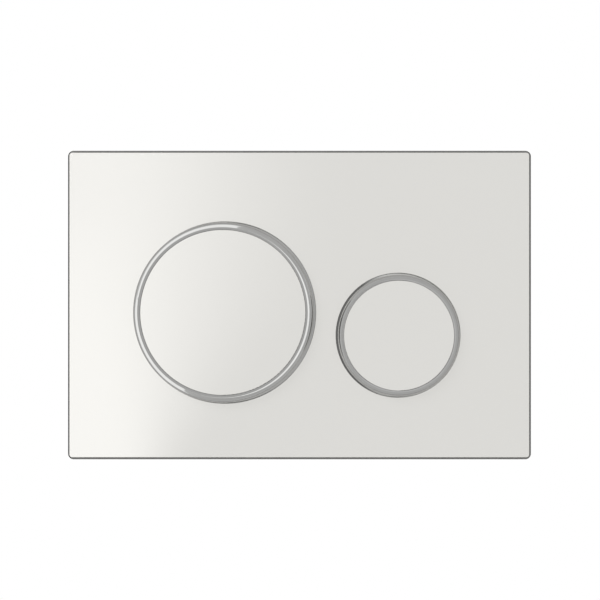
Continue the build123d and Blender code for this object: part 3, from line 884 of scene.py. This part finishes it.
wall_y = -0.32485
wall_half_width = 1.3
wall_half_height = 1.0
wall_glow = 0.82
patch_glow = 0.305
corner_signs = ((-1, -1), (1, -1), (1, 1), (-1, 1))
wall_corners = [(x * wall_half_width, wall_y, z * wall_half_height) for x, z in corner_signs]
wall_paint, wall_strength = glowing_card("front_wall", wall_corners, wall_glow)
wall_x, _, wall_z = axes_of(wall_paint)


def wall_step(source, start, end, low, high):
    """A smooth step from low to high while source goes from start to end, in metres on the wall."""
    return range_of(wall_paint, source, low, high, start, end, "SMOOTHSTEP")


# The bright patch on the wall has a slanting soft edge at its right, fades out far to the left, and ends
# above and below the plate.
edge_start = wall_step(wall_z, start=-0.18, end=0.14, low=-0.215, high=-0.315)
edge_end = wall_step(wall_z, start=-0.24, end=0.095, low=-0.175, high=0.03)
patch_edge = wall_step(wall_x, start=edge_start, end=edge_end, low=1.0, high=0.0)
patch_foot = wall_step(wall_z, start=-0.33, end=-0.24, low=0.0, high=patch_glow)
patch_height = wall_step(wall_z, start=0.24, end=0.33, low=patch_foot, high=0.0)
full_from = wall_step(wall_z, start=0.0, end=0.15, low=-0.26, high=-0.14)
patch_spread = wall_step(wall_x, start=-0.6, end=full_from, low=0.0, high=patch_height)
patch = number_of(wall_paint, "MULTIPLY", patch_edge, patch_spread)
feed(wall_paint, wall_strength, number_of(wall_paint, "ADD", patch, wall_glow))

flag_reach = 0.62
flag_depth = 0.7
flag_grey = 0.12
flags = {
    "left_flag": ((-1, -1), (-1, 1), 0.0),
    "right_flag": ((1, -1), (1, 1), flag_grey),
    "lower_flag": ((-1, -1), (1, -1), flag_grey),
    "upper_flag": ((-1, 1), (1, 1), flag_grey),
}
for flag_name, (first_corner, last_corner, glow) in flags.items():
    near = [(x * flag_reach, 0.0, z * flag_reach) for x, z in (first_corner, last_corner)]
    far = [(x * flag_reach, flag_depth, z * flag_reach) for x, z in (last_corner, first_corner)]
    glowing_card(flag_name, near + far, glow)


def seen_directly(owner):
    """1 for rays from the camera, off a mirror or through a clear piece, and 0 for rays that only light."""
    path = owner.node_tree.nodes.new("ShaderNodeLightPath")
    mirrored = number_of(owner, "MAXIMUM", path.outputs["Is Camera Ray"], path.outputs["Is Glossy Ray"])
    return number_of(owner, "MAXIMUM", mirrored, path.outputs["Is Transmission Ray"])


floor_half = 4.0
floor_level = -0.75
floor_grey = (0.85, 0.85, 0.85, 1.0)
floor_paint = finish_named("pale_floor")
floor_nodes, floor_links = floor_paint.node_tree.nodes, floor_paint.node_tree.links
floor_shader = floor_nodes["Principled BSDF"]
floor_shader.inputs["Base Color"].default_value = floor_grey
floor_shader.inputs["Roughness"].default_value = 0.9
floor_white = floor_nodes.new("ShaderNodeEmission")
floor_mix = floor_nodes.new("ShaderNodeMixShader")
floor_links.new(seen_directly(floor_paint), floor_mix.inputs["Fac"])
floor_links.new(floor_shader.outputs["BSDF"], floor_mix.inputs[1])
floor_links.new(floor_white.outputs["Emission"], floor_mix.inputs[2])
floor_links.new(floor_mix.outputs["Shader"], floor_nodes["Material Output"].inputs["Surface"])
floor_corners = [(x * floor_half, y * floor_half, floor_level) for x, y in corner_signs]
studio_sheet("floor", floor_corners, floor_paint)

surround_light = 0.45
surround = bpy.data.worlds.new("white_surround")
surround.use_nodes = True
surround_white = surround.node_tree.nodes["Background"]
surround_white.inputs["Color"].default_value = (1.0, 1.0, 1.0, 1.0)
surround_glow = range_of(surround, seen_directly(surround), surround_light, 1.0, 0.0, 1.0)
feed(surround, surround_white.inputs["Strength"], surround_glow)
scene.world = surround


def soft_lamp(name, place, aim, size, watts):
    """A square lamp at place that faces aim, both in metres, and that mirrors don't see."""
    lamp = bpy.data.lights.new(name, "AREA")
    lamp.shape = "SQUARE"
    lamp.size = size
    lamp.energy = watts
    holder = bpy.data.objects.new(name, lamp)
    scene.collection.objects.link(holder)
    holder.location = place
    direction = np.array(aim) - np.array(place)
    holder.rotation_euler = mathutils.Vector(direction).to_track_quat("-Z", "Y").to_euler()
    holder.visible_glossy = False
    return holder


soft_lamp("key_lamp", place=(-0.7, -0.9, 0.7), aim=(0.0, 0.0, 0.0), size=0.7, watts=10.0)
soft_lamp("back_lamp", place=(0.6, 0.9, 0.8), aim=(0.0, 0.0, 0.0), size=0.4, watts=13.0)
large_ring_alone = bpy.data.collections.new("large_ring_light")
large_ring_alone.objects.link(ring_pieces["large"])
strip_y = -0.30685
mirror_middle = np.array([-0.1004, -0.0027])


def strip_lamp(name, shape, turn, across, along, glow):
    """A lamp that only the large ring mirrors.

    It spans the two ranges across and along, in metres from the place that mirrors the ring's middle, on axes
    turned by turn degrees. A rectangle is as bright as a white card times glow, and an oval about a quarter
    brighter.
    """
    across_way = np.array([np.cos(radians(turn)), np.sin(radians(turn))])
    along_way = np.array([np.sin(radians(turn)), -np.cos(radians(turn))])
    x, z = mirror_middle + across_way * np.mean(across) + along_way * np.mean(along)
    width, height = np.ptp(across), np.ptp(along)
    lamp = soft_lamp(name, (x, strip_y, z), (x, 0.0, z), width, glow * np.pi * width * height)
    lamp.data.shape = shape
    lamp.data.size_y = height
    lamp.rotation_euler = (radians(90), radians(180 - turn), 0.0)
    lamp.visible_glossy = True
    lamp.visible_diffuse = False
    lamp.light_linking.receiver_collection = large_ring_alone


strip_lamp("upper_left_strip", "RECTANGLE", turn=170, across=(0.0, 0.093), along=(0.0, 0.3), glow=0.92)
strip_lamp("lower_left_strip", "RECTANGLE", turn=154, across=(0.0, 0.093), along=(-0.3, -0.0247), glow=0.92)
strip_lamp("right_strip", "ELLIPSE", turn=-14, across=(-0.046, 0.096), along=(-0.076, 0.076), glow=0.87)

# Camera. Near the plate and square to it, a little right of its middle, as the places of the raised rings
# show. The shift brings the plate back to the middle of the picture.
camera = bpy.data.cameras.new("camera")
camera.sensor_width = 36.0
camera.lens = 33.733
camera.shift_x = -0.0666
camera.shift_y = 0.025
camera.clip_start = 0.01
camera_stand = bpy.data.objects.new("camera", camera)
scene.collection.objects.link(camera_stand)
camera_stand.location = (0.0215, -0.3055, -0.0053)
camera_stand.rotation_euler = (radians(90), 0.0, 0.0)
scene.camera = camera_stand
scene.view_settings.view_transform = "Standard"
